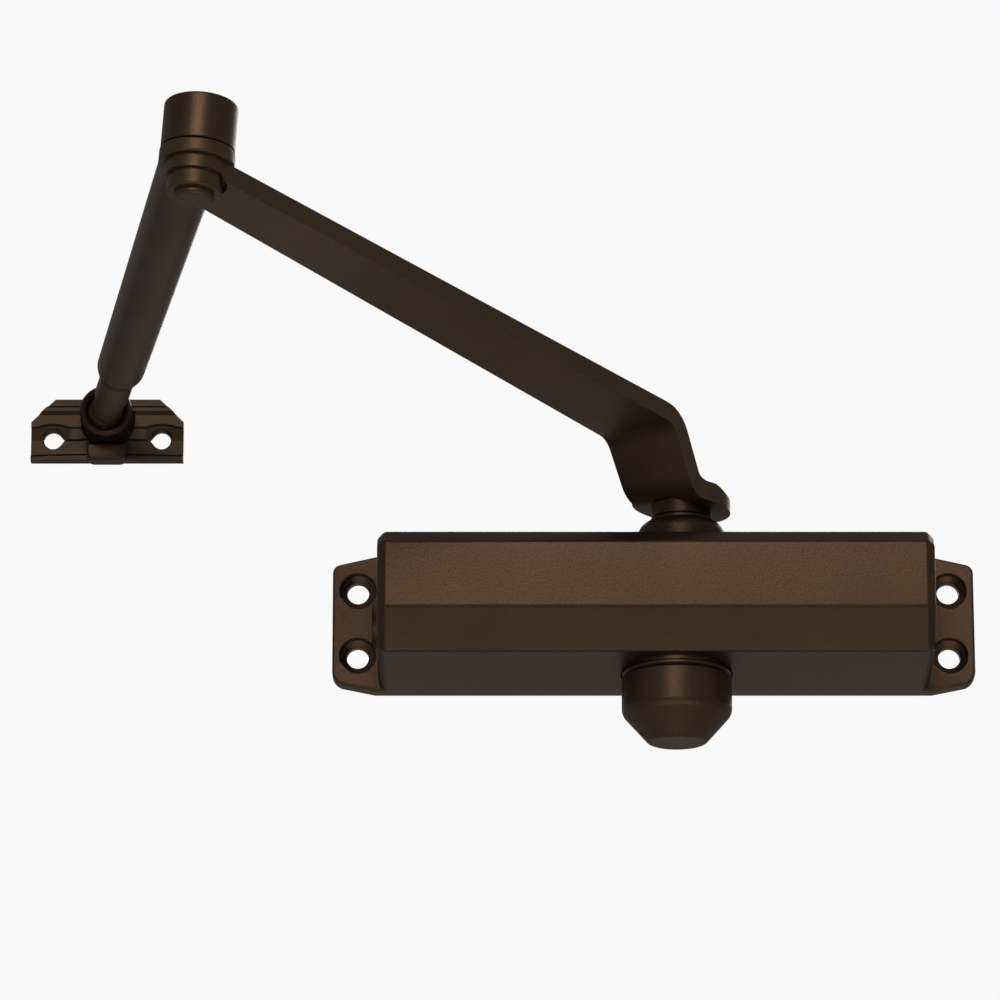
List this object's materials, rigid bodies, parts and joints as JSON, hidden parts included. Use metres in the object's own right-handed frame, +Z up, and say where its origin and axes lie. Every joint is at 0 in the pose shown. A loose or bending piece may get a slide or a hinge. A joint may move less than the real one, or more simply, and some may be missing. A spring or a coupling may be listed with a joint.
{
  "type": "door closer",
  "caption": "Surface-mounted hydraulic door closer: faceted body with end lugs, joggled main arm, elbow, telescoping forearm and pivoting foot bracket.",
  "frame": {"origin": "centre of the four lug holes, on the back face that lies on the door", "axes": "+X along the body towards the speed valves, +Y into the door, +Z up along the pinion"},
  "size_m": [0.2696, 0.1938, 0.1291],
  "materials": {
    "bronze_powder_coat": "dark bronze powder coat, fine orange peel, satin",
    "bronze_cap_plastic": "moulded plastic in the same dark bronze, satin",
    "bronze_plated_rod": "dark bronze coated steel rod",
    "blackened_steel": "black oxide steel",
    "bright_steel": "ground and hardened steel",
    "brass": "turned",
    "seal_rubber": "black nitrile rubber, matt"
  },
  "bodies": {
    "closer_body": {"body_casting": "bronze_powder_coat", "left_end_plug": "blackened_steel", "right_end_plug": "blackened_steel", "left_plug_oring": "seal_rubber", "right_plug_oring": "seal_rubber", "top_gland_nut": "bronze_powder_coat", "bottom_gland_nut": "bronze_powder_coat", "top_bearing_bush": "brass", "bottom_bearing_bush": "brass", "top_shaft_seal": "seal_rubber", "bottom_shaft_seal": "seal_rubber", "cap_gasket_ring": "seal_rubber", "pinion_cap": "bronze_cap_plastic", "main_spring": "bright_steel"},
    "sweep_valve": {"sweep_valve_screw": "brass", "sweep_valve_oring": "seal_rubber"},
    "latch_valve": {"latch_valve_screw": "brass", "latch_valve_oring": "seal_rubber"},
    "pinion_and_arm": {"pinion_shaft": "bright_steel", "arm_spacer": "bronze_powder_coat", "main_arm": "bronze_powder_coat", "arm_washer": "blackened_steel", "arm_screw": "blackened_steel", "elbow_pivot_pin": "blackened_steel", "elbow_cap_nut": "bronze_powder_coat", "elbow_thrust_ring": "bronze_powder_coat"},
    "rack_piston": {"piston": "bright_steel", "piston_seal": "seal_rubber", "check_valve_seat": "brass", "check_valve_ball": "bright_steel"},
    "forearm": {"forearm_sleeve": "bronze_powder_coat", "elbow_bush": "brass", "elbow_top_plug": "bronze_powder_coat"},
    "forearm_rod": {"adjusting_rod": "bronze_plated_rod"},
    "foot": {"foot_bracket": "bronze_powder_coat", "foot_pivot_pin": "blackened_steel"}
  },
  "joints": [
    {"name": "pinion_turn", "type": "hinge", "parent": "closer_body", "child": "pinion_and_arm", "pos_m": [0.0077, -0.0175, 0], "axis": [0, 0, -1], "range_deg": [0, 170], "stiffness_Nm_per_rad": 3, "springref_deg": -154.7},
    {"name": "piston_slide", "type": "slide", "parent": "closer_body", "child": "rack_piston", "axis": [-1, 0, 0], "range_m": [0, 0.01949], "deforming": ["main_spring"]},
    {"name": "sweep_valve_turn", "type": "hinge", "parent": "closer_body", "child": "sweep_valve", "pos_m": [0.078, -0.033, 0.0126], "axis": [1, 0, 0], "range_deg": [-360, 360]},
    {"name": "latch_valve_turn", "type": "hinge", "parent": "closer_body", "child": "latch_valve", "pos_m": [0.078, -0.0311, -0.0124], "axis": [1, 0, 0], "range_deg": [-360, 360]},
    {"name": "elbow_fold", "type": "hinge", "parent": "pinion_and_arm", "child": "forearm", "pos_m": [-0.12198, -0.18445, 0.06805], "axis": [0.0614, 0.079, 0.995], "range_deg": [-10, 270]},
    {"name": "rod_slide", "type": "slide", "parent": "forearm", "child": "forearm_rod", "axis": [-0.1991, 0.973, -0.117], "range_m": [0, 0.03]},
    {"name": "foot_swivel", "type": "hinge", "parent": "forearm_rod", "child": "foot", "pos_m": [-0.1565, -0.0105, 0.0611], "axis": [0, 0, 1], "range_deg": [-14, 37]}
  ],
  "couplings": [
    {"joint": "piston_slide", "follows": "pinion_turn", "m_per_rad": 0.0065}
  ]
}
